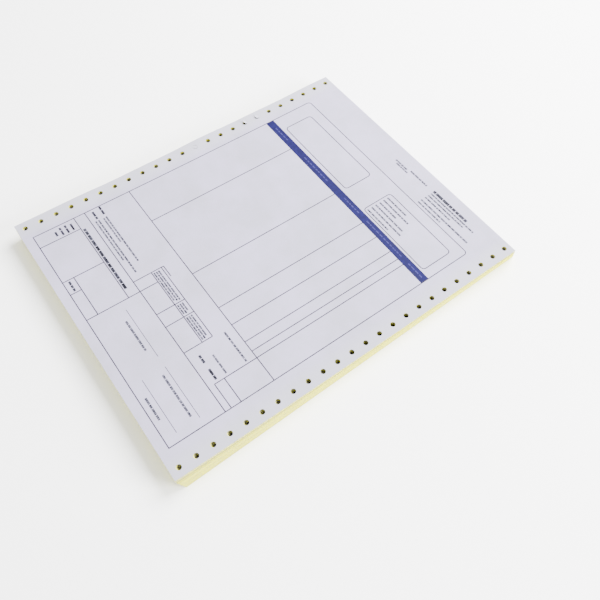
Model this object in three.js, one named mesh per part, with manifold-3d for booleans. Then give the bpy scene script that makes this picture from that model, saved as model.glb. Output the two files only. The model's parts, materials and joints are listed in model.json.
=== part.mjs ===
// A fan-folded pack of two-part carbonless forms with sprocket holes along both margins.
// Lengths are in millimetres. +X runs along the web from fold to fold, +Y across it, +Z up.
// The origin is the middle of the rectangle that the pack covers on the table.

import * as THREE from 'three';
import { mergeGeometries, mergeVertices } from 'three/addons/utils/BufferGeometryUtils.js';
import Module from 'manifold-3d';

// The web: its folds fall midway between two sprocket holes, a whole number of pitches apart.
const holePitch = 12.7;
const holesPerFold = 24;
const foldLength = holePitch * holesPerFold;
const sheetWidth = 241.3;
const holeDiameter = 4;
const holeRowInset = 6.35;
const holeSides = 10;

// The pile: the folds spring open, so both ends stand higher than the middle.
const foldedForms = 56;
const middleHeight = 10.4;
const leftRise = { near: 2.6, far: 1.6 };
const rightRise = { near: 1.5, far: 0.9 };
const lengthStations = 8;

// The pile leans: its lowest form lies this far from the top one, and is turned by this much.
const leanAlong = 2.5;
const leanAcross = -1;
const leanTurn = THREE.MathUtils.degToRad(0.8);

// Each fold is a rounded ridge between two creases, and each form's edge shows as a fine line.
const creaseDepth = 0.8;
const ridgeShoulder = 0.13;
const edgeLineDepth = 0.18;

// The forms weren't knocked up quite square: each lies a little off, by a slow and a quick wave.
const endScatter = 0.3;
const marginScatter = 0.25;
const slowWave = { perForm: 0.37, share: 0.65 };
const quickWave = { perForm: 1.9, share: 0.35 };
const scatterPhase = { left: 0.4, right: 2.9, margins: 1.7 };

// The top form lies loose on the pile as two plies, and turns down into the first fold.
const plyThickness = 0.25;
const plyClearance = 0.3;
const innerFoldRadius = 0.25;
const turnSteps = 4;
const uncutFarHole = 13;

const halfLength = foldLength / 2;
const halfWidth = sheetWidth / 2;
const holeRow = halfWidth - holeRowInset;
const copyTurn = innerFoldRadius;
const originalTurn = copyTurn + plyThickness + plyClearance;
const bendStart = halfLength - originalTurn - plyThickness;
const punchTop = 2 * (middleHeight + leftRise.near + rightRise.near);
const punchBottom = -1;

// Height of the pile's top above the table, at a place on the top form.
function pileHeight(x, y) {
  const farShare = 0.5 + y / sheetWidth;
  const rise = x < 0 ? leftRise : rightRise;
  const endRise = THREE.MathUtils.lerp(rise.near, rise.far, farShare);
  return middleHeight + endRise * (x / halfLength) ** 2;
}

// Where a point of a form lies once the form has slid and turned with the leaning pile.
// The depth is 0 at the top of the pile and 1 on the table.
function leaned(x, y, depth) {
  const turn = leanTurn * depth;
  return new THREE.Vector2(
    x * Math.cos(turn) - y * Math.sin(turn) + leanAlong * depth,
    x * Math.sin(turn) + y * Math.cos(turn) + leanAcross * depth,
  );
}

// How far an end stands back, some half forms below the pile's top. The web folds at the two ends by
// turns, so every second form has its ridge on the right, and the others have theirs on the left.
function foldInset(halfFormsDown, end) {
  const fromRidge = (halfFormsDown + (end === 'right' ? 0 : 2)) % 4;
  if (fromRidge === 0) return 0;
  return fromRidge === 2 ? creaseDepth : creaseDepth * ridgeShoulder;
}

function scatter(halfFormsDown, amount, phase) {
  const form = Math.floor(halfFormsDown / 2);
  const wave = ({ perForm, share }) => share * Math.sin(form * perForm + phase);
  return amount * (wave(slowWave) + wave(quickWave));
}

// One outline of the pile, anticlockwise from the near left corner: near margin, then far margin.
function pileOutline(halfFormsDown) {
  const depth = halfFormsDown / (2 * foldedForms);
  const leftEdge = -halfLength + foldInset(halfFormsDown, 'left');
  const rightEdge = halfLength - foldInset(halfFormsDown, 'right');
  const left = leftEdge + scatter(halfFormsDown, endScatter, scatterPhase.left);
  const right = rightEdge + scatter(halfFormsDown, endScatter, scatterPhase.right);
  const line = halfFormsDown % 2 === 0 ? edgeLineDepth : 0;
  const shift = scatter(halfFormsDown, marginScatter, scatterPhase.margins);
  const near = [];
  const far = [];
  for (let station = 0; station <= lengthStations; station += 1) {
    const x = THREE.MathUtils.lerp(left, right, station / lengthStations);
    for (const [side, y] of [[near, -halfWidth + line + shift], [far, halfWidth - line + shift]]) {
      const place = leaned(x, y, depth);
      side.push(new THREE.Vector3(place.x, place.y, (1 - depth) * pileHeight(x, y)));
    }
  }
  return [...near, ...far.reverse()];
}

// A closed body through outlines that all have the same number of points in two facing rows.
function loft(outlines) {
  const count = outlines[0].length;
  const row = count / 2;
  const triangles = [];
  for (let level = 1; level < outlines.length; level += 1) {
    const low = (level - 1) * count;
    const high = level * count;
    for (let i = 0; i < count; i += 1) {
      const next = (i + 1) % count;
      triangles.push(low + i, low + next, high + next, low + i, high + next, high + i);
    }
  }
  const top = (outlines.length - 1) * count;
  for (let i = 0; i < row - 1; i += 1) {
    const near = i;
    const far = count - 1 - i;
    triangles.push(near, far, far - 1, near, far - 1, near + 1);
    triangles.push(top + near, top + near + 1, top + far - 1, top + near, top + far - 1, top + far);
  }
  return closedGeometry(outlines.flat(), triangles);
}

function closedGeometry(points, triangles) {
  const geometry = new THREE.BufferGeometry();
  geometry.setAttribute('position', new THREE.Float32BufferAttribute(points.flatMap((p) => p.toArray()), 3));
  geometry.setIndex(triangles);
  return geometry;
}

// Centres of the sprocket holes on a flat form, row by row.
function holeCentres() {
  const centres = [];
  for (const [row, y] of [['near', -holeRow], ['far', holeRow]]) {
    for (let number = 1; number <= holesPerFold; number += 1) {
      centres.push({ row, number, x: (number - 0.5) * holePitch - halfLength, y });
    }
  }
  return centres;
}

// A prism for each hole, upright or leaning with the pile, longer than the pile is high.
function holePrisms(centres, leans) {
  const circle = new THREE.CylinderGeometry(holeDiameter / 2, holeDiameter / 2, 1, holeSides);
  circle.rotateX(Math.PI / 2);
  circle.deleteAttribute('normal');
  circle.deleteAttribute('uv');
  const prism = mergeVertices(circle, 1e-4);
  const prisms = centres.map(({ x, y }) => {
    const copy = prism.clone();
    const position = copy.getAttribute('position');
    const top = pileHeight(x, y);
    for (let i = 0; i < position.count; i += 1) {
      const z = position.getZ(i) < 0 ? punchBottom : punchTop;
      const place = leaned(x, y, leans ? 1 - z / top : 0);
      position.setXYZ(i, place.x + position.getX(i), place.y + position.getY(i), z);
    }
    return copy;
  });
  return mergeGeometries(prisms);
}

// One ply of the top form: flat along the pile, then a quarter turn down at the right-hand fold.
function plyGeometry(turnRadius) {
  const outline = (y) => {
    const upper = [];
    const lower = [];
    for (let station = 0; station <= lengthStations; station += 1) {
      const x = THREE.MathUtils.lerp(-halfLength, bendStart, station / lengthStations);
      const z = pileHeight(x, y) + plyClearance + turnRadius;
      lower.push(new THREE.Vector3(x, y, z));
      upper.push(new THREE.Vector3(x, y, z + plyThickness));
    }
    const centre = lower[lengthStations].z - turnRadius;
    for (let step = 1; step <= turnSteps; step += 1) {
      const angle = (Math.PI / 2) * (1 - step / turnSteps);
      for (const [path, radius] of [[lower, turnRadius], [upper, turnRadius + plyThickness]]) {
        const x = bendStart + radius * Math.cos(angle);
        path.push(new THREE.Vector3(x, y, centre + radius * Math.sin(angle)));
      }
    }
    return [lower, upper];
  };
  const [nearLower, nearUpper] = outline(-halfWidth);
  const [farLower, farUpper] = outline(halfWidth);
  return loft([
    [...nearLower, ...farLower.reverse()],
    [...nearUpper, ...farUpper.reverse()],
  ]);
}

const wasm = await Module();
wasm.setup();

function solid(geometry) {
  const merged = mergeVertices(geometry, 1e-5);
  return new wasm.Manifold(new wasm.Mesh({
    numProp: 3,
    vertProperties: Float32Array.from(merged.getAttribute('position').array),
    triVerts: Uint32Array.from(merged.getIndex().array),
  }));
}

function punched(geometry, holes) {
  const mesh = solid(geometry).subtract(solid(holes)).getMesh();
  const result = new THREE.BufferGeometry();
  result.setAttribute('position', new THREE.BufferAttribute(mesh.vertProperties, mesh.numProp));
  result.setIndex(new THREE.BufferAttribute(mesh.triVerts, 1));
  result.computeVertexNormals();
  return result;
}

function foldedPackGeometry() {
  const outlines = [];
  for (let halfFormsDown = 2 * foldedForms; halfFormsDown >= 0; halfFormsDown -= 1) {
    outlines.push(pileOutline(halfFormsDown));
  }
  return punched(loft(outlines), holePrisms(holeCentres(), true));
}

function topPlyGeometry(turnRadius, centres) {
  return punched(plyGeometry(turnRadius), holePrisms(centres, false));
}

function paper(name, geometry, color) {
  const material = new THREE.MeshStandardMaterial({ color, roughness: 0.85, metalness: 0 });
  const mesh = new THREE.Mesh(geometry, material);
  mesh.name = name;
  return mesh;
}

const originalHoles = holeCentres().filter(({ row, number }) => row === 'near' || number !== uncutFarHole);

const group = new THREE.Group();
group.add(paper('folded_pack', foldedPackGeometry(), 0xf0eab4));
group.add(paper('copy_ply', topPlyGeometry(copyTurn, holeCentres()), 0xf4ecaa));
group.add(paper('original_ply', topPlyGeometry(originalTurn, originalHoles), 0xe4e3ee));

// The lean shifts the pile to one side, so the whole is moved back over the origin.
const footprint = new THREE.Box3().setFromObject(group);
const middle = footprint.getCenter(new THREE.Vector3());
group.children.forEach((mesh) => mesh.position.set(-middle.x, -middle.y, -footprint.min.z));

export default group;
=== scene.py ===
# %% [markdown]
# A fan-folded pack of two-part computer forms.
#
# The real thing is two long webs of paper, a white printed original and a yellow copy, laid together
# and folded back and forth every 24 sprocket holes. This lesson makes it the same way: a short slice
# of web is punched, repeated into a long flat web, and folded up. The top form is laid on it as two
# loose plies, and its printing goes on as thin films of ink.

import json
import math
import random

import bmesh
import bpy
from mathutils import Matrix, Vector

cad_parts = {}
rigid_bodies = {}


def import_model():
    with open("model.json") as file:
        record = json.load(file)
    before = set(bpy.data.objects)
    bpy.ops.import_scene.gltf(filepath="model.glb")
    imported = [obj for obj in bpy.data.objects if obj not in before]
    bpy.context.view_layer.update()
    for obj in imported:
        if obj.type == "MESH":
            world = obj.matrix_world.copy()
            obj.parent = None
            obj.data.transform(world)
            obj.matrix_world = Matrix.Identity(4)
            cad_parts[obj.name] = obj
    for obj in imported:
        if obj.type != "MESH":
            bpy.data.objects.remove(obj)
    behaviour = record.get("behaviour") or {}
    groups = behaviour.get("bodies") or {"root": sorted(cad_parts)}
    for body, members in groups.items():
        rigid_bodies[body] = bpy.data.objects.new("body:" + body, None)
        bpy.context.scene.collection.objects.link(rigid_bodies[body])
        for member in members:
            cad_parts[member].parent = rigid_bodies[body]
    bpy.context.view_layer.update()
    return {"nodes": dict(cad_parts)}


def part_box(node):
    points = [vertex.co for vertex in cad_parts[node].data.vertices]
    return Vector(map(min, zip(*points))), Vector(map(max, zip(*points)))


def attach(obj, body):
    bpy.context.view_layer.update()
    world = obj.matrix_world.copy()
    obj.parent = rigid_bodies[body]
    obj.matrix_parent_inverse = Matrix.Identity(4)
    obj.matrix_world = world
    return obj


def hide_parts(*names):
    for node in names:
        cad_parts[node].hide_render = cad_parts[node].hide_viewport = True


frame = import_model()
print("nodes:", sorted(frame["nodes"]))

# %% [markdown]
# The sizes come from the frame where it has them. The top form was measured to its hole pitch, and
# its node gives the length, the width and the place of its middle. Everything below is worked out in
# a sheet's own directions: x runs along the web, y across it, and both are zero in the sheet's middle.

# %% Sizes of the web
MM = 0.001
HOLE_PITCH = 12.7 * MM
HOLES = 24
HOLE_RADIUS = 2.0 * MM
FORMS = 56

form_low, form_high = (Vector(corner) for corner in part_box("original_ply"))
LENGTH = form_high.x - form_low.x
WIDTH = form_high.y - form_low.y
MIDDLE = (form_low + form_high) / 2
HOLE_ROW = (WIDTH - HOLE_PITCH) / 2
PERFORATION = WIDTH / 2 - HOLE_PITCH


def hole_place(number):
    """Where a sprocket hole lies along the web. The first one is at the left fold."""
    return -LENGTH / 2 + (number - 0.5) * HOLE_PITCH


print("form %.1f by %.1f mm" % (LENGTH / MM, WIDTH / MM))

# %% [markdown]
# The folds spring open, so both ends of the pile stand higher than its middle, most of all at the
# near left corner. The pile also leans: its lowest form has slid and turned away from the top one.
# These are the values that the solids were made with, as a near and a far value for each end.

# %% The pile's own shape
PILE_MIDDLE = 10.4 * MM
LEFT_RISE = (2.6 * MM, 1.6 * MM)
RIGHT_RISE = (1.5 * MM, 0.9 * MM)
LEAN = Vector((2.5 * MM, -1.0 * MM))
LEAN_TURN = math.radians(0.8)


def pile_height(x, y):
    """Height of the pile's top above the table at a place on the top form."""
    near, far = LEFT_RISE if x < 0 else RIGHT_RISE
    share = 0.5 + y / WIDTH
    return PILE_MIDDLE + (near + (far - near) * share) * (x / (LENGTH / 2)) ** 2


def leaned(x, y, depth):
    """Where a point of a form lies in the pile. The depth is 0 at the top and 1 on the table."""
    turn = LEAN_TURN * depth
    along = x * math.cos(turn) - y * math.sin(turn) + LEAN.x * depth
    across = x * math.sin(turn) + y * math.cos(turn) + LEAN.y * depth
    return MIDDLE.x + along, MIDDLE.y + across


print("near left corner %.1f mm high" % (pile_height(-LENGTH / 2, -WIDTH / 2) / MM))

# %% [markdown]
# A few small helpers keep the modelling steps readable. Operators act on whatever is selected, so
# each helper starts by selecting nothing, and picks what it needs by its place. The last one counts
# triangles, and is tried here on the solid that the folded forms will stand for.

# %% Helpers for modelling
def only(piece):
    """Selects one piece and nothing else."""
    bpy.ops.object.select_all(action="DESELECT")
    piece.select_set(True)
    bpy.context.view_layer.objects.active = piece


def edit(piece):
    """Opens a piece in edit mode with nothing selected in it."""
    only(piece)
    bpy.ops.object.mode_set(mode="EDIT")
    bpy.ops.mesh.select_mode(type="VERT")
    bpy.ops.mesh.select_all(action="DESELECT")


def leave_edit():
    bpy.ops.object.mode_set(mode="OBJECT")


def settle(piece):
    """Puts the object's place into its mesh, so that the object sits at the origin."""
    only(piece)
    bpy.ops.object.transform_apply(location=True, rotation=True, scale=True)


def apply_modifier(piece, kind, **values):
    only(piece)
    bpy.ops.object.modifier_add(type=kind)
    modifier = piece.modifiers[-1]
    for name, value in values.items():
        setattr(modifier, name, value)
    bpy.ops.object.modifier_apply(modifier=modifier.name)


def triangles(piece):
    return sum(len(face.vertices) - 2 for face in piece.data.polygons)


print("the solid pile has", triangles(frame["nodes"]["folded_pack"]), "triangles")

# %% [markdown]
# One slice of web is as long as the hole pitch. In each margin a circle is bridged to the square
# around it, which leaves a clean round hole with few faces. The plain middle is then bridged from
# one margin to the other. A hole could be cut from a solid sheet instead, but that leaves long thin
# faces, and these sheets have to bend.

# %% One punched slice
TOUCHING = 0.01 * MM


def margin_slice(name, hole_sides):
    """The near margin's part of the first slice: a square of web with its round hole."""
    place = (hole_place(1), -HOLE_ROW, 0)
    bpy.ops.object.select_all(action="DESELECT")
    bpy.ops.mesh.primitive_plane_add(size=HOLE_PITCH, location=place)
    piece = bpy.context.active_object
    piece.name = name
    bpy.ops.object.mode_set(mode="EDIT")
    bpy.ops.mesh.delete(type="ONLY_FACE")
    bpy.ops.mesh.primitive_circle_add(vertices=hole_sides, radius=HOLE_RADIUS, location=place)
    bpy.ops.mesh.select_all(action="SELECT")
    bpy.ops.mesh.bridge_edge_loops()
    leave_edit()
    settle(piece)
    return piece


def is_inner(edge):
    """True for an edge that lies on the line between a margin and the plain middle."""
    return all(abs(abs(vertex.co.y) - PERFORATION) < TOUCHING for vertex in edge.verts)


def punched_slice(name, hole_sides, middle_cuts):
    piece = margin_slice(name, hole_sides)
    edit(piece)
    bpy.ops.mesh.select_all(action="SELECT")
    bpy.ops.mesh.duplicate_move(TRANSFORM_OT_translate={"value": (0, 2 * HOLE_ROW, 0)})
    bpy.ops.mesh.select_mode(type="EDGE")
    mesh = bmesh.from_edit_mesh(piece.data)
    for edge in mesh.edges:
        edge.select_set(is_inner(edge))
    bmesh.update_edit_mesh(piece.data)
    bpy.ops.mesh.bridge_edge_loops(number_cuts=middle_cuts)
    bpy.ops.mesh.select_all(action="SELECT")
    bpy.ops.mesh.normals_make_consistent(inside=False)
    leave_edit()
    return piece


pile = punched_slice("folded_forms", hole_sides=12, middle_cuts=0)
print("slice:", len(pile.data.polygons), "faces")

# %% [markdown]
# An Array modifier repeats the slice along the web and welds each copy to the one before it. A flat
# sheet doesn't tell which of its sides is the upper one, so it is turned over if its faces look down.

# %% A flat form from 24 slices
def repeat_along(piece, count):
    apply_modifier(
        piece, "ARRAY", count=count, use_relative_offset=True, relative_offset_displace=(1, 0, 0),
        use_merge_vertices=True, merge_threshold=TOUCHING,
    )


def flat_form(piece):
    repeat_along(piece, HOLES)
    if piece.data.polygons[0].normal.z < 0:
        edit(piece)
        bpy.ops.mesh.select_all(action="SELECT")
        bpy.ops.mesh.flip_normals()
        leave_edit()


def cut_across(form, places):
    """Adds lines of vertices across a form, where it has to bend."""
    for x in places:
        edit(form)
        bpy.ops.mesh.select_all(action="SELECT")
        bpy.ops.mesh.bisect(plane_co=(x, 0, 0), plane_no=(1, 0, 0))
        leave_edit()


flat_form(pile)
print("form: %.1f mm long" % (pile.dimensions.x / MM))

# %% [markdown]
# In a real pack the air between the forms is shared out unevenly. Most forms lie close, and at a few
# places the pile gapes, which gives the darker lines along its sides. Each form gets a weight for the
# air below it: a random small one, or a large listed one where the pile gapes.

# %% The air between the forms
PAPER = 0.16 * MM
LEAST_AIR = 0.08
MORE_AIR = 0.35
WIDE_GAPS = {3: 7.0, 8: 5.0, 17: 2.5, 31: 2.0, 46: 2.5}

random.seed(24)
air = [LEAST_AIR + MORE_AIR * random.random() ** 3 for _ in range(FORMS + 1)]
for form, weight in WIDE_GAPS.items():
    air[form] = weight
air_below = [sum(air[form + 1:]) / sum(air[1:]) for form in range(FORMS)]


def form_level(form, x, y):
    """Height of a form's middle surface. Form 0 is the highest of the pile."""
    height = pile_height(x, y)
    paper_below = (FORMS - form - 0.5) * PAPER
    return paper_below + air_below[form] * (height - FORMS * PAPER)


print("top form's middle at %.2f mm" % (form_level(0, 0, 0) / MM))

# %% [markdown]
# The forms weren't knocked up quite square either. Each one lies a little off, by a slow wave that
# runs through the pile and a quick one from form to form. The folds are at the two ends by turns, and
# each is a small round nose that reaches from one form to the next.

# %% How the folds lie
NOSE = 0.2 * MM
END_SCATTER = 0.28 * MM
MARGIN_SCATTER = 0.24 * MM
SLOW_WAVE = {"share": 0.65, "per_form": 0.37}
QUICK_WAVE = {"share": 0.35, "per_form": 1.9}
SCATTER_PHASE = {"left": 0.4, "right": 2.9, "margins": 1.7}


def scatter(form, amount, phase):
    slow, quick = (
        wave["share"] * math.sin(wave["per_form"] * form + phase) for wave in (SLOW_WAVE, QUICK_WAVE)
    )
    return amount * (slow + quick)


def fold_end(fold):
    """Which end a fold is at: +1 right, -1 left. Fold 0 joins the pile to the top form."""
    return 1 if fold % 2 == 0 else -1


def end_line(fold):
    """Where the flat part of a form stops and its nose starts."""
    end = fold_end(fold)
    phase = SCATTER_PHASE["right" if end > 0 else "left"]
    return end * (LENGTH / 2 - NOSE - PAPER / 2) + scatter(fold, END_SCATTER, phase)


print("first folds at", ", ".join("%.2f mm" % (end_line(fold) / MM) for fold in range(3)))

# %% [markdown]
# A form with its bending lines is repeated 56 times into a flat web 17 m long, which is then folded
# up point by point. How far a point lies along the web says which form it is on, and how near it is
# to a fold. Fifty-six separate sheets would be simpler, but they would show no folds at the ends.

# %% Folding the web
NOSE_PARTS = (0.5, 1.0)


def nose_point(fold, form, from_fold, y):
    """A point on the round nose that joins two forms: its place along the form, and its height."""
    x = end_line(fold)
    upper, lower = form_level(fold - 1, x, y), form_level(fold, x, y)
    angle = math.pi / 2 * from_fold / NOSE
    side = 1 if form < fold else -1
    z = (upper + lower) / 2 + side * (upper - lower) / 2 * math.sin(angle)
    return x + fold_end(fold) * NOSE * math.cos(angle), z


def folded_point(point):
    along = point.x + LENGTH / 2
    form = min(max(int(along / LENGTH), 0), FORMS - 1)
    fold = round(along / LENGTH)
    from_fold = abs(along - fold * LENGTH)
    if from_fold < NOSE and 0 < fold < FORMS:
        x, z = nose_point(fold, form, from_fold, point.y)
    else:
        share = (along - form * LENGTH) / LENGTH
        x = end_line(form) + (end_line(form + 1) - end_line(form)) * share
        z = form_level(form, x, point.y)
    y = point.y + scatter(form, MARGIN_SCATTER, SCATTER_PHASE["margins"])
    return (*leaned(x, y, (form + 0.5) / FORMS), z)


cut_across(pile, [end * (LENGTH / 2 - NOSE * part) for end in (-1, 1) for part in NOSE_PARTS])
repeat_along(pile, FORMS)
print("flat web: %.2f m" % pile.dimensions.x)

# %% [markdown]
# Before a point is moved, the number of the form it is on is kept in an attribute of the mesh. The
# material of the cut edges reads it later, so that its colours keep to the forms as they lean.

# %% Folding it up, with each form's number kept
FORM_NUMBER = "leaf"
LAST_NUMBER = FORMS - 0.001

numbers = pile.data.attributes.new(FORM_NUMBER, "FLOAT", "POINT")
for vertex, number in zip(pile.data.vertices, numbers.data):
    number.value = min((vertex.co.x + LENGTH / 2) / LENGTH, LAST_NUMBER)
    vertex.co = folded_point(vertex.co)
print("folded forms:", len(pile.data.vertices), "vertices before they get their thickness")

# %% [markdown]
# The top form's two plies lie loose on the pile. They rest on its curve and turn down at the right
# end into the first fold. Outside its tear-off perforation the far margin is a narrow free strip, and
# it lifts in long waves. The copy, held down by the original, lifts only a third as much.

# %% How the top form lies
COPY_REST = 0.66 * MM
ORIGINAL_REST = 1.2 * MM
COPY_TURN = 0.3 * MM
ORIGINAL_TURN = 0.9 * MM
COPY_LIFTS = 0.35
TURN_END = 0.34 * MM
FAR_LIFT = 1.7 * MM
END_LIFT = 0.8 * MM
MEAN_LIFT = 0.6
LONG_WAVE = {"share": 0.25, "per_mm": 0.047, "phase": 0.8}
SHORT_WAVE = {"share": 0.15, "per_mm": 0.11, "phase": 0.0}
NEAR_SINK = 0.12 * MM
BEND_START = LENGTH / 2 - ORIGINAL_TURN


def margin_lift(x, y):
    """How far the far margin's free strip lifts off the pile."""
    strip = max(0.0, (y - PERFORATION) / HOLE_PITCH)
    long, short = (
        wave["share"] * math.sin(wave["per_mm"] * x / MM + wave["phase"]) for wave in (LONG_WAVE, SHORT_WAVE)
    )
    most = FAR_LIFT + (END_LIFT - FAR_LIFT) * (2 * x / LENGTH) ** 2
    return most * strip * (MEAN_LIFT + long + short)


def near_sink(x, y):
    """The plies settle a little in the middle of the near side."""
    across = max(0.0, -y / (WIDTH / 2)) ** 2
    return NEAR_SINK * across * (1 - (2 * x / LENGTH) ** 2)


def sheet_point(x, y, rest, turn, lifts=1.0):
    """A place on a ply of the top form, in the frame."""
    level = pile_height(min(x, BEND_START), y) + rest
    if x > BEND_START:
        angle = math.pi / 2 * (x - BEND_START) / (LENGTH / 2 - BEND_START)
        x = BEND_START + turn * math.sin(angle)
        level -= (rest - TURN_END) * (1 - math.cos(angle))
    else:
        level += lifts * (margin_lift(x, y) - near_sink(x, y))
    return MIDDLE.x + x, MIDDLE.y + y, level


print("far margin lifts %.2f mm in its middle" % (margin_lift(0, WIDTH / 2) / MM))

# %% [markdown]
# Both plies are punched in the same way as the pile's forms, with rounder holes and more faces, because
# they are seen from close by. Solidify gives each its thickness once it lies in place.

# %% The top form's two plies
PLY = 0.09 * MM
ROUND_SIDES = 24
MIDDLE_CUTS = 7
TURN_PARTS = 4


def top_ply(name, rest, turn, lifts):
    ply = punched_slice(name, ROUND_SIDES, MIDDLE_CUTS)
    flat_form(ply)
    turned_part = LENGTH / 2 - BEND_START
    cut_across(ply, [BEND_START + turned_part * part / TURN_PARTS for part in range(TURN_PARTS)])
    for vertex in ply.data.vertices:
        vertex.co = sheet_point(vertex.co.x, vertex.co.y, rest, turn, lifts)
    apply_modifier(ply, "SOLIDIFY", thickness=PLY, offset=0)
    print(ply.name, triangles(ply), "triangles")
    return ply


copy = top_ply("top_copy", COPY_REST, COPY_TURN, COPY_LIFTS)
original = top_ply("top_original", ORIGINAL_REST, ORIGINAL_TURN, 1.0)

# %% [markdown]
# Three of the far holes weren't punched clean. In one the chad is still in place, so nearly nothing
# shows. In the other two it hangs by its right-hand side, a little or further down. Each chad is a
# disc a hair smaller than its hole, dished a little by the punch.

# %% Chads left in three far holes
CHAD_RADIUS = 1.93 * MM
CHAD_RIM = 0.5 * MM
CHAD_DISH = 0.08 * MM

# Each chad's hole, how far it tilts in degrees, and how far it has sunk.
CHADS = {
    "seated_chad": (13, 1.5, 0.0),
    "hanging_chad": (18, 16, 0.04 * MM),
    "drooping_chad": (17, 30, 0.05 * MM),
}


def chad(name, number, tilt, sink):
    x, y, z = sheet_point(hole_place(number), HOLE_ROW, ORIGINAL_REST, ORIGINAL_TURN)
    bpy.ops.object.select_all(action="DESELECT")
    bpy.ops.mesh.primitive_circle_add(
        vertices=ROUND_SIDES, radius=CHAD_RADIUS, fill_type="NGON", location=(x, y, z),
    )
    disc = bpy.context.active_object
    disc.name = name
    hinge = (x + CHAD_RADIUS, y, z)
    bpy.ops.object.mode_set(mode="EDIT")
    bpy.ops.mesh.inset(thickness=CHAD_RIM)
    bpy.ops.transform.translate(value=(0, 0, -CHAD_DISH))
    bpy.ops.mesh.select_all(action="SELECT")
    bpy.ops.transform.rotate(value=-math.radians(tilt), orient_axis="Y", center_override=hinge)
    bpy.ops.transform.translate(value=(0, 0, -sink))
    leave_edit()
    settle(disc)
    apply_modifier(disc, "SOLIDIFY", thickness=PLY, offset=0)
    return disc


chads = [chad(name, *values) for name, values in CHADS.items()]
print("chads:", ", ".join(disc.name for disc in chads))

# %% [markdown]
# Now the pile gets its thickness. Solidify can give the two sides and the cut edges of a sheet their
# own materials, so one web carries the white side, the yellow side and the edges between them. The
# materials come later, so three empty slots keep their places.

# %% Thickness of the folded forms
SIDES_AND_EDGES = 3

for _ in range(SIDES_AND_EDGES):
    pile.data.materials.append(None)
apply_modifier(
    pile, "SOLIDIFY", thickness=PAPER, offset=0, use_even_offset=False,
    material_offset=1, material_offset_rim=2,
)
print(pile.name, triangles(pile), "triangles")

# %% [markdown]
# The printing is a form of rules, boxes and one solid blue band. These are its places in millimetres,
# as read from the top form: an outer frame, a broad stub at the left with a block for notes and a
# small grid, and columns to its right that end at the band. The four values of the frame and of a box
# are its low x, low y, high x and high y.

# %% The rules, boxes and band
FRAME = (-145.2, -100.6, 120.0, 103.4)
BAND = (72.0, 79.4)
BOXES = {"upper_box": (82.6, 4.0, 110.0, 89.0), "lower_box": (81.0, -92.4, 110.0, -20.0)}
BOX_CORNER = 3.2
RULE = 0.72
THIN_RULE = 0.4

OUTER_LINE = -136.0
NOTES_LINE = -111.5
STUB_LINE = -102.3
NOTES_RULE = 52.4
NOTES_BOTTOM = 14.0
GRID_TOP = 24.0
GRID_BOTTOM = -47.5
GRID_INNER = -87.4
GRID_END = -79.0
GRID_TOP_END = -77.0
COLUMNS_START = -63.0
COLUMN_LINES = (66.4, 5.6, -30.4, -47.6, -64.4, -73.2)
TOTALS_LINE = -79.4
TOTALS_START = -97.6

# Rules along the web: y, then where each starts and ends in x.
ALONG = [(y, COLUMNS_START, BAND[0]) for y in COLUMN_LINES]
ALONG += [
    (TOTALS_LINE, TOTALS_START, BAND[0]),
    (90.6, FRAME[0], NOTES_LINE),
    (NOTES_RULE, FRAME[0], NOTES_LINE),
    (39.6, FRAME[0], OUTER_LINE),
    (NOTES_BOTTOM, FRAME[0], GRID_INNER),
    (GRID_TOP, STUB_LINE, GRID_TOP_END),
]
ALONG += [(y, STUB_LINE, GRID_END) for y in (-10.0, -22.6, GRID_BOTTOM)]

# Rules across the web: x, then where each starts and ends in y.
ACROSS = [
    (STUB_LINE, FRAME[1], FRAME[3]),
    (COLUMNS_START, FRAME[1], FRAME[3]),
    (NOTES_LINE, NOTES_BOTTOM, FRAME[3]),
    (OUTER_LINE, NOTES_BOTTOM, NOTES_RULE),
    (TOTALS_START, FRAME[1], TOTALS_LINE),
    (-89.8, FRAME[1], TOTALS_LINE),
    (GRID_INNER, GRID_BOTTOM, GRID_TOP),
    (GRID_END, GRID_BOTTOM, GRID_TOP),
    (GRID_TOP_END, 13.0, GRID_TOP),
]
SIGNATURE_LINES = [(-118.0, -39.6, 6.0), (-118.0, -94.0, -49.0), (-135.6, -94.0, -49.0)]
print(len(ALONG) + len(ACROSS), "rules and", len(BOXES), "boxes")

# %% [markdown]
# Ink is far thinner than paper, but it has an edge, so each colour is modelled as a thin film that
# follows the top form. A film starts as planes of the right length and width, is cut every few
# millimetres both ways so that it can bend with the sheet, and is laid on it. A picture of the print
# could be put on the paper instead, but a film keeps a sharp edge at any distance.

# %% Laying ink on the form
INK_RISE = 0.025 * MM
INK_FILM = 0.012 * MM
CUT_EVERY = 12.0
FIRST_CUT = 0.7


def new_film(name):
    """An empty mesh, open in edit mode."""
    bpy.ops.object.select_all(action="DESELECT")
    bpy.ops.object.add(type="MESH", location=(0, 0, 0))
    film = bpy.context.active_object
    film.name = name
    edit(film)
    return film


def print_patch(low_x, low_y, high_x, high_y):
    """Adds one rectangle to the film that is being edited. Its corners are in millimetres."""
    middle = ((low_x + high_x) / 2 * MM, (low_y + high_y) / 2 * MM, 0)
    size = ((high_x - low_x) * MM, (high_y - low_y) * MM, 1)
    bpy.ops.mesh.select_all(action="DESELECT")
    bpy.ops.mesh.primitive_plane_add(size=1, location=middle)
    bpy.ops.transform.resize(value=size, center_override=middle)


def cut_every(step, low, high, direction):
    """Cuts what is being edited into strips, at even steps along a direction."""
    for number in range(int((high - low) / step) + 1):
        bpy.ops.mesh.select_all(action="SELECT")
        place = Vector(direction) * (low + step * number) * MM
        bpy.ops.mesh.bisect(plane_co=place, plane_no=direction)


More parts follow.
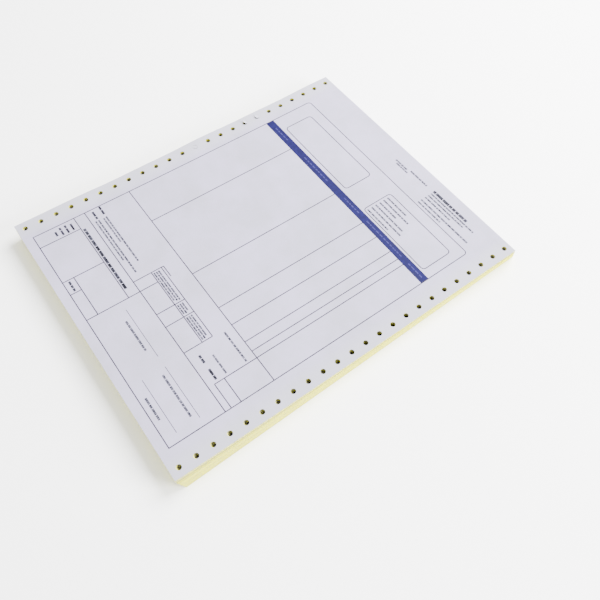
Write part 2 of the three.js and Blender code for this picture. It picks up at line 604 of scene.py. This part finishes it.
def lay_film(film, rise=INK_RISE):
    """Cuts the film so that it can bend, lays it on the form's upper face and gives it a thickness."""
    cut_every(CUT_EVERY, FRAME[0] + FIRST_CUT, FRAME[2], (1, 0, 0))
    cut_every(CUT_EVERY, FRAME[1] + FIRST_CUT, FRAME[3], (0, 1, 0))
    leave_edit()
    rest = ORIGINAL_REST + PLY / 2 + rise
    for vertex in film.data.vertices:
        vertex.co = sheet_point(vertex.co.x, vertex.co.y, rest, ORIGINAL_TURN)
    apply_modifier(film, "SOLIDIFY", thickness=INK_FILM, offset=0)
    print(film.name, triangles(film), "triangles")


print("ink stands %.3f mm above the paper" % ((INK_RISE + INK_FILM / 2) / MM))

# %% [markdown]
# The rules are narrow patches. A box is an outline with rounded corners: a plane has the corners of
# its outline bevelled, and is then inset by a rule's width, and its inner face is deleted. The outer
# frame is made in the same way, with only its two right-hand corners rounded.

# %% The printed rules and boxes
CORNER_PARTS = 6


def rule_along(y, start, end, width=RULE):
    print_patch(start, y - width / 2, end, y + width / 2)


def rule_across(x, start, end, width=RULE):
    print_patch(x - width / 2, start, x + width / 2, end)


def outline(low_x, low_y, high_x, high_y, corners="all"):
    """Adds a ring whose corners are rounded, either all of them or those at the right."""
    print_patch(low_x, low_y, high_x, high_y)
    mesh = bmesh.from_edit_mesh(bpy.context.active_object.data)
    for vertex in [vertex for vertex in mesh.verts if vertex.select]:
        vertex.select_set(corners == "all" or vertex.co.x / MM > (low_x + high_x) / 2)
    mesh.select_flush_mode()
    bmesh.update_edit_mesh(bpy.context.active_object.data)
    bpy.ops.mesh.bevel(offset=BOX_CORNER * MM, segments=CORNER_PARTS, affect="VERTICES")
    bpy.ops.mesh.select_linked()
    bpy.ops.mesh.inset(thickness=RULE * MM)
    bpy.ops.mesh.delete(type="FACE")


rules = new_film("printed_rules")
for rule in ALONG:
    rule_along(*rule)
for rule in ACROSS:
    rule_across(*rule)
for rule in SIGNATURE_LINES:
    rule_across(*rule, THIN_RULE)
for box in BOXES.values():
    outline(*box)
outline(*FRAME, corners="right")
lay_film(rules)

# %% [markdown]
# The blue band heads the columns. It is the simplest film, a single patch from one side of the frame
# to the other. It could be drawn into the paper's material as a stripe, but as a film it carries a
# dense ink of its own.

# %% The blue band
band = new_film("printed_band")
print_patch(BAND[0], FRAME[1], BAND[1], FRAME[3])
lay_film(band)

# %% [markdown]
# Real forms carry headings and small print. Here every line of it is a row of plain bars, as long as
# words are, with no letters in them. The blue band carries pale bars, one short group over each
# column, and they lie a little higher than the band's own ink.

# %% Headings on the blue band
HEADING_LINE = 75.9
HEADING_HEIGHT = 1.1
HEADING_RISE = INK_RISE + 0.03 * MM
HEADING_WORDS = {"gap": 0.9, "shortest": 1.6, "longest": 4.0}

# The middle of each heading and half its length.
HEADINGS = [(85.0, 9.0), (36.0, 16.0), (-12.5, 10.0), (-39.0, 8.0), (-56.0, 9.0), (-68.8, 4.5), (-90.0, 9.0)]


def words(line, gap, shortest, longest, scale=1.0):
    """Splits a line of lettering into bars the length of words, and prints each one."""
    x, start, end, height = line
    half = height * scale / 2
    step = 1 if end > start else -1
    at = start
    while (end - at) * step > shortest:
        length = min(random.uniform(shortest, longest), (end - at) * step)
        low, high = sorted((at, at + step * length))
        print_patch(x - half, low, x + half, high)
        at += step * (length + gap)


headings = new_film("band_headings")
for middle, half_length in HEADINGS:
    words((HEADING_LINE, middle + half_length, middle - half_length, HEADING_HEIGHT), **HEADING_WORDS)
lay_film(headings, HEADING_RISE)

# %% [markdown]
# The lettering on the paper is in two weights, so it is two films, each with its own ink. All of it
# runs across the web. Each line has its x, its start and end in y, and the height of its letters.

# %% Bold lettering as plain bars
BOLD_WORDS = {"gap": 0.5, "shortest": 2.5, "longest": 8.0, "scale": 1.1}
BOLD_LINES = [
    (-109.4, 89.0, 22.0, 2.0),
    (-129.0, 98.5, 93.5, 1.5),
    (-124.6, 100.5, 92.0, 1.5),
    (-120.4, 100.5, 92.0, 1.5),
    (-116.0, 99.5, 92.0, 1.5),
    (-96.6, 100.5, 92.0, 1.6),
    (-90.0, 102.5, 92.0, 1.6),
    (-140.4, 51.0, 41.0, 1.6),
    (-94.6, -55.0, -62.0, 1.7),
    (-94.6, -67.6, -77.0, 1.7),
    (140.4, -39.5, -80.0, 2.4),
]

bold = new_film("bold_lettering")
for line in BOLD_LINES:
    words(line, **BOLD_WORDS)
lay_film(bold)

# %% [markdown]
# The fine lettering has single lines all over the form, a list of six lines in the lower box, and
# three groups of small print in the stub's grid.

# %% Fine lettering as plain bars
FINE_WORDS = {"gap": 0.45, "shortest": 1.6, "longest": 6.0, "scale": 1.25}
FINE_LINES = [
    (-96.4, 90.5, 29.0, 1.1),
    (-98.8, 90.5, 44.0, 1.0),
    (-90.0, 90.5, 37.0, 1.1),
    (-92.3, 90.0, 62.0, 1.0),
    (-70.4, -49.6, -77.6, 1.2),
    (-86.6, -60.0, -77.0, 1.1),
    (-122.6, -2.4, -31.0, 1.3),
    (-122.4, -53.6, -90.0, 1.3),
    (-140.2, -61.6, -80.4, 1.3),
    (122.8, -40.0, -66.0, 1.2),
    (126.2, -40.0, -95.0, 1.3),
    (130.6, -40.0, -69.0, 1.2),
    (134.0, -40.0, -82.0, 1.2),
    (137.0, -40.0, -89.0, 1.2),
    (138.0, 5.0, -9.0, 1.3),
    (139.6, -12.0, -32.0, 1.3),
    (135.8, 2.0, -12.0, 1.1),
]
LIST_TOP, LIST_STEP, LIST_START, LIST_HEIGHT = 105.0, 4.2, -22.5, 1.2
LIST_LENGTHS = (24, 30, 22, 34, 37, 25)
SMALL_FIRST, SMALL_STEP, SMALL_ROWS, SMALL_HEIGHT = -85.9, 1.9, 3, 1.0
SMALL_GROUPS = ((22.5, -8.5), (-11.5, -21.0), (-24.0, -46.0))

for row, length in enumerate(LIST_LENGTHS):
    FINE_LINES.append((LIST_TOP - LIST_STEP * row, LIST_START, LIST_START - length, LIST_HEIGHT))
for start, end in SMALL_GROUPS:
    for row in range(SMALL_ROWS):
        FINE_LINES.append((SMALL_FIRST + SMALL_STEP * row, start, end, SMALL_HEIGHT))

fine = new_film("fine_lettering")
for line in FINE_LINES:
    words(line, **FINE_WORDS)
lay_film(fine)

# %% [markdown]
# Materials come next. Their nodes are placed in code, and the same few steps come back in each one: a
# noise, a range that is stretched onto another, a sum, a mix of two colours. Each step is a helper
# that works in a node tree. What it is given may be a plain value or another node's output.

# %% Helpers for noise and ranges
def feed(tree, given, socket):
    """Gives a socket a plain value, or links it to another node's output."""
    if isinstance(given, bpy.types.NodeSocket):
        tree.links.new(given, socket)
    else:
        socket.default_value = given


def object_place(tree):
    """The place of a point on its piece, in metres."""
    return tree.nodes.new("ShaderNodeTexCoord").outputs["Object"]


def noise(tree, place, scale, detail, rough):
    texture = tree.nodes.new("ShaderNodeTexNoise")
    for name, given in (("Vector", place), ("Scale", scale), ("Detail", detail), ("Roughness", rough)):
        feed(tree, given, texture.inputs[name])
    return texture.outputs["Fac"]


def spread(tree, value, low, high, to_low, to_high):
    """Stretches one range of a value onto another, and holds it at the ends."""
    ranged = tree.nodes.new("ShaderNodeMapRange")
    for name, number in zip(("From Min", "From Max", "To Min", "To Max"), (low, high, to_low, to_high)):
        ranged.inputs[name].default_value = number
    feed(tree, value, ranged.inputs["Value"])
    return ranged.outputs["Result"]


print("materials so far:", len(bpy.data.materials))

# %% [markdown]
# A Math node works on single numbers, and a Vector Math node on places and colours, so one helper
# serves both. A Mix node has sockets for several kinds of value, and only those for colours are used.

# %% Helpers for sums and mixed colours
MIX_SHARE, MIX_FIRST, MIX_SECOND, MIX_RESULT = 0, 6, 7, 2


def maths(tree, operation, *values, kind="ShaderNodeMath"):
    node = tree.nodes.new(kind)
    node.operation = operation
    for value, socket in zip(values, node.inputs):
        feed(tree, value, socket)
    return node.outputs[0]


def vector_maths(tree, operation, *values):
    return maths(tree, operation, *values, kind="ShaderNodeVectorMath")


def mix_colour(tree, share, first, second):
    mixer = tree.nodes.new("ShaderNodeMix")
    mixer.data_type = "RGBA"
    for number, given in ((MIX_SHARE, share), (MIX_FIRST, first), (MIX_SECOND, second)):
        feed(tree, given, mixer.inputs[number])
    return mixer.outputs[MIX_RESULT]


print("a Mix node's colours are its sockets", MIX_FIRST, "and", MIX_SECOND)

# %% [markdown]
# Paper isn't one flat colour: light comes through it in clouds, its fibres make a very fine relief,
# and specks and handling leave it a little greyer in places. That effect is the same for both papers,
# so it is a node group with its own inputs, built once and used in each material. It puts out a
# colour, a roughness and a height, never a whole shader. A noise is given by its scale, its detail and
# its roughness, and a range by its two ends and the two values that they become.

# %% The paper effect
CLOUDS = (38.0, 4.0, 0.55)
CLOUDS_TO_SHARE = (0.35, 0.68, 0.0, 1.0)
SPECKS = (900.0, 3.0, 0.7)
SPECKS_TO_TONE = (0.3, 0.75, 0.965, 1.02)
FIBRES = (1600.0, 5.0, 0.65)
FIBRES_TO_ROUGHNESS = (0.3, 0.7, 0.74, 0.9)
FIBRE_STRETCH = (1.0, 3.4, 1.0)
GROUP_OUTPUTS = {"Colour": "NodeSocketColor", "Roughness": "NodeSocketFloat", "Height": "NodeSocketFloat"}


def new_group(name, inputs):
    """A node group with named sockets, together with what it is given and what it puts out."""
    group = bpy.data.node_groups.new(name, "ShaderNodeTree")
    for label, (kind, value) in inputs.items():
        made = group.interface.new_socket(name=label, in_out="INPUT", socket_type=kind)
        made.default_value = value
    for label, kind in GROUP_OUTPUTS.items():
        group.interface.new_socket(name=label, in_out="OUTPUT", socket_type=kind)
    given = group.nodes.new("NodeGroupInput").outputs
    result = group.nodes.new("NodeGroupOutput").inputs
    return group, given, result


def paper_group():
    group, given, result = new_group("paper_fibres", {
        "Colour": ("NodeSocketColor", (0.8, 0.8, 0.8, 1)),
        "Cloud Colour": ("NodeSocketColor", (0.7, 0.7, 0.7, 1)),
        "Cloud Strength": ("NodeSocketFloat", 0.3),
    })
    place = object_place(group)
    clouds = spread(group, noise(group, place, *CLOUDS), *CLOUDS_TO_SHARE)
    share = maths(group, "MULTIPLY", clouds, given["Cloud Strength"])
    clouded = mix_colour(group, share, given["Colour"], given["Cloud Colour"])

    specks = spread(group, noise(group, place, *SPECKS), *SPECKS_TO_TONE)
    feed(group, vector_maths(group, "MULTIPLY", clouded, specks), result["Colour"])

    stretched = vector_maths(group, "MULTIPLY", place, FIBRE_STRETCH)
    strands = noise(group, stretched, *FIBRES)
    feed(group, spread(group, strands, *FIBRES_TO_ROUGHNESS), result["Roughness"])
    feed(group, strands, result["Height"])
    return group


PAPER_FIBRES = paper_group()
print("group:", PAPER_FIBRES.name)

# %% [markdown]
# A paper material is its own Principled shader with the shared effect in front of it. The paper of
# such forms is matt, so its sheen is low. Both colours are deeper than real paper's, because the view
# transform pales whatever is brightly lit.

# %% The white and the yellow paper
PAPER_SURFACE = {"strength": 0.35, "depth": 0.02 * MM, "sheen": 0.12}
WHITE = (0.322, 0.302, 0.41, 1)
WHITE_CLOUD = (0.262, 0.255, 0.315, 1)
WHITE_STRENGTH = 0.7
YELLOW = (0.80, 0.78, 0.05, 1)
YELLOW_CLOUD = (0.74, 0.71, 0.03, 1)
YELLOW_STRENGTH = 0.5


def new_material(name):
    material = bpy.data.materials.new(name)
    material.use_nodes = True
    return material, material.node_tree


def cover(tree, colour, roughness, height, strength, depth, sheen):
    """Feeds a material's Principled shader, with the height as a relief of this strength and depth."""
    bump = tree.nodes.new("ShaderNodeBump")
    for name, given in (("Height", height), ("Strength", strength), ("Distance", depth)):
        feed(tree, given, bump.inputs[name])
    surface = tree.nodes["Principled BSDF"].inputs
    feed(tree, colour, surface["Base Color"])
    feed(tree, roughness, surface["Roughness"])
    feed(tree, bump.outputs["Normal"], surface["Normal"])
    surface["Specular IOR Level"].default_value = sheen


def effect_material(name, group, values, surface):
    """A material with a shared effect in it, with the values that this material gives the effect."""
    material, tree = new_material(name)
    effect = tree.nodes.new("ShaderNodeGroup")
    effect.node_tree = group
    for label, value in values.items():
        effect.inputs[label].default_value = value
    cover(tree, *(effect.outputs[label] for label in GROUP_OUTPUTS), **surface)
    return material


def paper_material(name, colour, cloud_colour, cloud_strength):
    values = {"Colour": colour, "Cloud Colour": cloud_colour, "Cloud Strength": cloud_strength}
    return effect_material(name, PAPER_FIBRES, values, PAPER_SURFACE)


white_paper = paper_material("white_original_paper", WHITE, WHITE_CLOUD, WHITE_STRENGTH)
yellow_paper = paper_material("yellow_copy_paper", YELLOW, YELLOW_CLOUD, YELLOW_STRENGTH)
print("papers:", white_paper.name, yellow_paper.name)

# %% [markdown]
# The material blends the top original's margins a little towards a greyer and greener tone than its
# middle. Between margin and middle runs the tear-off perforation, a row of tiny slits. They are too
# fine to model, so the material draws them: a ping-pong of the place along the web gives slits and
# ties by turns.

# %% The top original's own paper
MARGIN_TONE = (0.32, 0.325, 0.35, 1)
MARGIN_FADE = (PERFORATION - 3 * MM, PERFORATION + 5 * MM)
MARGIN_SHARE = 0.55
SLIT_TONE = (0.35, 0.35, 0.36, 1)
SLIT_SHARE = 0.3
SLIT_HALF_WIDTH = 0.12 * MM
SLIT_HALF_PITCH = 0.8 * MM
TIE_HALF_LENGTH = 0.3 * MM


def from_middle(tree):
    """A point's place along and across the form, both zero in the form's middle."""
    moved = vector_maths(tree, "SUBTRACT", object_place(tree), (MIDDLE.x, MIDDLE.y, 0.0))
    parts = tree.nodes.new("ShaderNodeSeparateXYZ")
    feed(tree, moved, parts.inputs["Vector"])
    return parts.outputs["X"], parts.outputs["Y"]


def slits(tree, along, across):
    """A mask that is 1 in the slits of both perforations."""
    line = maths(tree, "COMPARE", across, PERFORATION, SLIT_HALF_WIDTH)
    from_tie = maths(tree, "PINGPONG", along, SLIT_HALF_PITCH)
    between_ties = maths(tree, "GREATER_THAN", from_tie, TIE_HALF_LENGTH)
    return maths(tree, "MULTIPLY", line, between_ties)


def original_paper():
    material = white_paper.copy()
    material.name = "top_original_paper"
    tree = material.node_tree
    base = tree.nodes["Principled BSDF"].inputs["Base Color"]
    plain = base.links[0].from_socket
    along, off_middle = from_middle(tree)
    across = maths(tree, "ABSOLUTE", off_middle)
    margin = spread(tree, across, *MARGIN_FADE, 0.0, MARGIN_SHARE)
    margined = mix_colour(tree, margin, plain, MARGIN_TONE)
    cut = maths(tree, "MULTIPLY", slits(tree, along, across), SLIT_SHARE)
    feed(tree, mix_colour(tree, cut, margined, SLIT_TONE), base)
    return material


top_paper = original_paper()
print("top paper:", top_paper.name)

# %% [markdown]
# The cut edges show both papers at once. Each sheet's edge is a hair different from the next, some
# cleaner and some more yellow, and light falls away into the gaps between bundles of forms. All of it
# follows the number of the form, which the mesh carries: whole numbers move a noise on from form to
# form, so that it makes streaks, and a colour ramp shades the bundles.

# %% Streaks and bundles on the cut edges
STREAK_STRETCH = (3.0, 3.0, 0.0)
THIN_STREAKS = (1.7, 2.0, 0.6)
THIN_TO_PALE = (0.42, 0.62, 0.0, 1.0)
WIDE_STREAKS = (0.085, 2.0, 0.5)
WIDE_TO_SHADE = (0.3, 0.7, 0.6, 1.0)
WIDE_TO_ROUGHNESS = (0.3, 0.7, 0.75, 0.92)

# How deep the shade is between the bundles of forms, from the top of the pile to the table.
BUNDLE_SHADES = [
    (0.0, 0.0), (0.06, 0.0), (0.075, 0.9), (0.13, 0.9), (0.15, 0.1), (0.20, 0.0), (0.22, 0.75),
    (0.27, 0.7), (0.29, 0.1), (0.40, 0.0), (0.48, 0.3), (0.54, 0.0), (0.80, 0.1), (0.93, 0.2), (1.0, 0.8),
]


def form_number(tree):
    number = tree.nodes.new("ShaderNodeAttribute")
    number.attribute_name = FORM_NUMBER
    return number.outputs["Fac"]


def streaks(tree, form, scale, detail, rough):
    """A noise that is long along the pile and starts anew on each form."""
    level = tree.nodes.new("ShaderNodeCombineXYZ")
    feed(tree, form, level.inputs["Z"])
    place = vector_maths(tree, "MULTIPLY_ADD", object_place(tree), STREAK_STRETCH, level.outputs["Vector"])
    return noise(tree, place, scale, detail, rough)


def bundle_shade(tree, number):
    ramp = tree.nodes.new("ShaderNodeValToRGB")
    stops = ramp.color_ramp.elements
    for stop, (place, shade) in zip(stops, (BUNDLE_SHADES[0], BUNDLE_SHADES[-1])):
        stop.position = place
        stop.color = (shade, shade, shade, 1)
    for place, shade in BUNDLE_SHADES[1:-1]:
        stops.new(place).color = (shade, shade, shade, 1)
    feed(tree, spread(tree, number, 0.0, FORMS, 0.0, 1.0), ramp.inputs["Fac"])
    return ramp.outputs["Color"]


print("shades of the bundles:", len(BUNDLE_SHADES))

# %% [markdown]
# The edge material lays these over one another, from the streaks to the shade of the bundles, then
# the pale edge of the top forms and a fine grain. Inside the sprocket holes the same edges are painted
# nearly black, as painted shade for the deep holes. A mask tells them apart by how far a point lies
# inside the pile's outline.

# %% The cut edges of the pile
EDGE_SURFACE = {"strength": 0.4, "depth": 0.04 * MM, "sheen": 0.03}
EDGE_YELLOW = (0.84, 0.84, 0.003, 1)
EDGE_PALE = (0.92, 0.92, 0.04, 1)
EDGE_DEEP = (0.30, 0.27, 0.003, 1)
EDGE_TOP = (0.93, 0.93, 0.40, 1)
BUNDLE_DARK = (0.055, 0.048, 0.006, 1)
# Painted shade for the inside of the sprocket holes, and how much of it covers them.
HOLE_PAINTED_SHADE = (0.035, 0.035, 0.012, 1)
HOLE_SHADE_SHARE = 0.95
GRAIN = (2400.0, 2.0, 0.6)
GRAIN_TO_DEEP = (0.35, 0.7, 0.0, 0.2)
FORM_TO_TOP = (1.0, 3.0, 0.9, 0.0)
RIM_ALONG = 3.2 * MM
RIM_ACROSS = 3.4 * MM


def inside_holes(tree):
    """A mask that is 1 on the edges inside the sprocket holes and 0 around the pile; it places the holes'
    painted shade.
    """
    along, across = from_middle(tree)
    inner_along = maths(tree, "LESS_THAN", maths(tree, "ABSOLUTE", along), LENGTH / 2 - RIM_ALONG)
    inner_across = maths(tree, "LESS_THAN", maths(tree, "ABSOLUTE", across), WIDTH / 2 - RIM_ACROSS)
    return maths(tree, "MULTIPLY", inner_along, inner_across)


def edge_material():
    material, tree = new_material("cut_edges")
    number = form_number(tree)
    form = maths(tree, "FLOOR", number)
    thin = streaks(tree, form, *THIN_STREAKS)
    wide = streaks(tree, form, *WIDE_STREAKS)
    grain = noise(tree, object_place(tree), *GRAIN)

    streaked = mix_colour(tree, spread(tree, thin, *THIN_TO_PALE), EDGE_YELLOW, EDGE_PALE)
    shade = maths(tree, "MULTIPLY", bundle_shade(tree, number), spread(tree, wide, *WIDE_TO_SHADE))
    shaded = mix_colour(tree, shade, streaked, BUNDLE_DARK)
    topped = mix_colour(tree, spread(tree, form, *FORM_TO_TOP), shaded, EDGE_TOP)
    grained = mix_colour(tree, spread(tree, grain, *GRAIN_TO_DEEP), topped, EDGE_DEEP)
    # Painted shade: the walls inside the sprocket holes are darkened nearly to black.
    hole_shade = maths(tree, "MULTIPLY", inside_holes(tree), HOLE_SHADE_SHARE)
    hole_shaded = mix_colour(tree, hole_shade, grained, HOLE_PAINTED_SHADE)
    cover(tree, hole_shaded, spread(tree, wide, *WIDE_TO_ROUGHNESS), grain, **EDGE_SURFACE)
    return material


cut_edges = edge_material()
print("edges:", cut_edges.name, "with", len(cut_edges.node_tree.nodes), "nodes")

# %% [markdown]
# Ink sinks unevenly into the paper. Rules and lettering are broken up by fine noise that lets the
# paper's colour through, and the blue band is a dense ink with slightly paler patches. All of them
# share one effect, and in lettering the noise is stretched, so that the bars break into strokes.

# %% The ink effect
INK_DETAIL, INK_ROUGH = 4.0, 0.6
PATCHES_TO_WEAR = (0.42, 0.72, 0.0, 1.0)
PATCHES_TO_ROUGHNESS = (0.3, 0.7, 0.6, 0.8)


def ink_group():
    group, given, result = new_group("ink_wear", {
        "Ink": ("NodeSocketColor", (0.02, 0.02, 0.02, 1)),
        "Worn Ink": ("NodeSocketColor", (0.1, 0.1, 0.1, 1)),
        "Wear": ("NodeSocketFloat", 0.7),
        "Grain": ("NodeSocketFloat", 700.0),
        "Stroke": ("NodeSocketVector", (1, 1, 1)),
    })
    stretched = vector_maths(group, "MULTIPLY", object_place(group), given["Stroke"])
    patches = noise(group, stretched, given["Grain"], INK_DETAIL, INK_ROUGH)
    worn = maths(group, "MULTIPLY", spread(group, patches, *PATCHES_TO_WEAR), given["Wear"])
    feed(group, mix_colour(group, worn, given["Ink"], given["Worn Ink"]), result["Colour"])
    feed(group, spread(group, patches, *PATCHES_TO_ROUGHNESS), result["Roughness"])
    feed(group, patches, result["Height"])
    return group


INK_WEAR = ink_group()
print("group:", INK_WEAR.name)

# %% [markdown]
# Each ink names its colour, the colour where it is worn, how strongly it wears, and how fine the
# wear's grain is. The band's headings are paler than the band, and its blue shows where they wear.

# %% Inks
INK_SURFACE = {"strength": 0.3, "depth": 0.01 * MM, "sheen": 0.08}
PLAIN_STROKES = (1.0, 1.0, 1.0)
LETTER_STROKES = (0.45, 1.0, 1.0)
INK_VALUES = ("Ink", "Worn Ink", "Wear", "Grain", "Stroke")
INKS = {
    "rule_ink": ((0.014, 0.011, 0.020, 1), (0.075, 0.065, 0.095, 1), 0.7, 700.0, PLAIN_STROKES),
    "band_ink": ((0.0040, 0.0033, 0.034, 1), (0.010, 0.009, 0.065, 1), 0.8, 260.0, PLAIN_STROKES),
    "heading_ink": ((0.028, 0.025, 0.11, 1), (0.008, 0.007, 0.045, 1), 0.9, 1400.0, PLAIN_STROKES),
    "bold_ink": ((0.002, 0.002, 0.004, 1), (0.06, 0.06, 0.085, 1), 0.9, 900.0, LETTER_STROKES),
    "fine_ink": ((0.008, 0.008, 0.014, 1), (0.16, 0.155, 0.21, 1), 1.0, 1300.0, LETTER_STROKES),
}

inks = {}
for name, values in INKS.items():
    inks[name] = effect_material(name, INK_WEAR, dict(zip(INK_VALUES, values)), INK_SURFACE)
print("inks:", ", ".join(inks))

# %% [markdown]
# Each piece now gets its finish. The pile's three slots are filled in the order in which Solidify
# numbered its faces: the side that looked up on the flat web, the other side, and the cut edges. The
# solids aren't shown, but they are given the same papers, so that nothing is left without a finish.

# %% Giving each piece its materials
FILM_INKS = {rules: "rule_ink", band: "band_ink", headings: "heading_ink", bold: "bold_ink", fine: "fine_ink"}
SOLID_PAPERS = {"folded_pack": cut_edges, "copy_ply": yellow_paper, "original_ply": top_paper}


def dress(piece, material):
    piece.data.materials.clear()
    piece.data.materials.append(material)


for place, material in enumerate((white_paper, yellow_paper, cut_edges)):
    pile.data.materials[place] = material
dress(copy, yellow_paper)
for piece in (original, *chads):
    dress(piece, top_paper)
for film, ink in FILM_INKS.items():
    dress(film, inks[ink])
for node, paper in SOLID_PAPERS.items():
    dress(frame["nodes"][node], paper)
print("finishes:", ", ".join(sorted(material.name for material in bpy.data.materials)))

# %% [markdown]
# Every piece belongs to the part's one body. The pile and the two plies stand for their solids, which
# are hidden.

# %% Riding on the frame
STANDS_FOR = {pile: "folded_pack", copy: "copy_ply", original: "original_ply"}

pieces = [pile, copy, original, *chads, rules, band, headings, bold, fine]
for piece in pieces:
    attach(piece, "root")
for piece, node in STANDS_FOR.items():
    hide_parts(node)
print(len(pieces), "pieces")

# %% [markdown]
# The pack lies on a plain pale table, which belongs to the stage and not to the part. One large plane
# is enough, and its edge stays out of the picture.

# %% The table
TABLE_SIZE = 6
TABLE_TONE = 0.98
TABLE_ROUGHNESS = 0.7

bpy.ops.object.select_all(action="DESELECT")
bpy.ops.mesh.primitive_plane_add(size=TABLE_SIZE, location=(0, 0, 0))
table = bpy.context.active_object
table.name = "table"
table_white, table_tree = new_material("table_white")
table_surface = table_tree.nodes["Principled BSDF"].inputs
table_surface["Base Color"].default_value = (TABLE_TONE, TABLE_TONE, TABLE_TONE, 1)
table_surface["Roughness"].default_value = TABLE_ROUGHNESS
dress(table, table_white)
print("table: %d m wide" % TABLE_SIZE)

# %% [markdown]
# The light is soft. One large lamp stands to the right and in front, so the near side is bright and
# the left end, under the overhanging forms, is in shade. A second one fills from above, and a bright
# white surround lifts the table to near white.

# %% Lamps and surround
LAMPS = {
    "front_right": {"place": (0.9, -1.2, 0.5), "size": 0.8, "power": 115},
    "overhead": {"place": (0.95, 0.15, 1.0), "size": 0.9, "power": 110},
}
SURROUND = 1.75


def softbox(name, place, size, power):
    """A square lamp that faces the middle of the pack."""
    bpy.ops.object.light_add(type="AREA", location=place)
    lamp = bpy.context.active_object
    lamp.name = name
    lamp.data.shape = "SQUARE"
    lamp.data.size = size
    lamp.data.energy = power
    lamp.rotation_euler = (-Vector(place)).to_track_quat("-Z", "Y").to_euler()


for name, values in LAMPS.items():
    softbox(name, **values)
world = bpy.data.worlds.new("studio")
bpy.context.scene.world = world
world.use_nodes = True
background = world.node_tree.nodes["Background"].inputs
background["Color"].default_value = (1.0, 1.0, 1.0, 1)
background["Strength"].default_value = SURROUND
print("lamps:", ", ".join(LAMPS))

# %% [markdown]
# The camera looks down on the pack from in front and to the left. Its height, its distance and a
# slight roll place the four corners of the top form where they lie in the picture, as near as a plain
# camera can, because the picture itself has been squeezed sideways.

# %% Camera
CAMERA_FROM_FORM = Vector((-0.162, -0.243, 0.395))
AIM_ON_FORM = Vector((-0.0118, -0.0603, 0.0))
CAMERA_ROLL = math.radians(3.48)
LENS = 37.9
SENSOR = 36

form_top = Vector((MIDDLE.x, MIDDLE.y, form_high.z))
stand = form_top + CAMERA_FROM_FORM
aim = form_top + AIM_ON_FORM
facing = (aim - stand).to_track_quat("-Z", "Y").to_matrix()
rolled = facing @ Matrix.Rotation(CAMERA_ROLL, 3, "Z")
bpy.ops.object.camera_add(location=stand, rotation=rolled.to_euler())
camera = bpy.context.active_object
camera.data.lens = LENS
camera.data.sensor_width = SENSOR
bpy.context.scene.camera = camera
print("camera stands %.2f m from the form" % CAMERA_FROM_FORM.length)
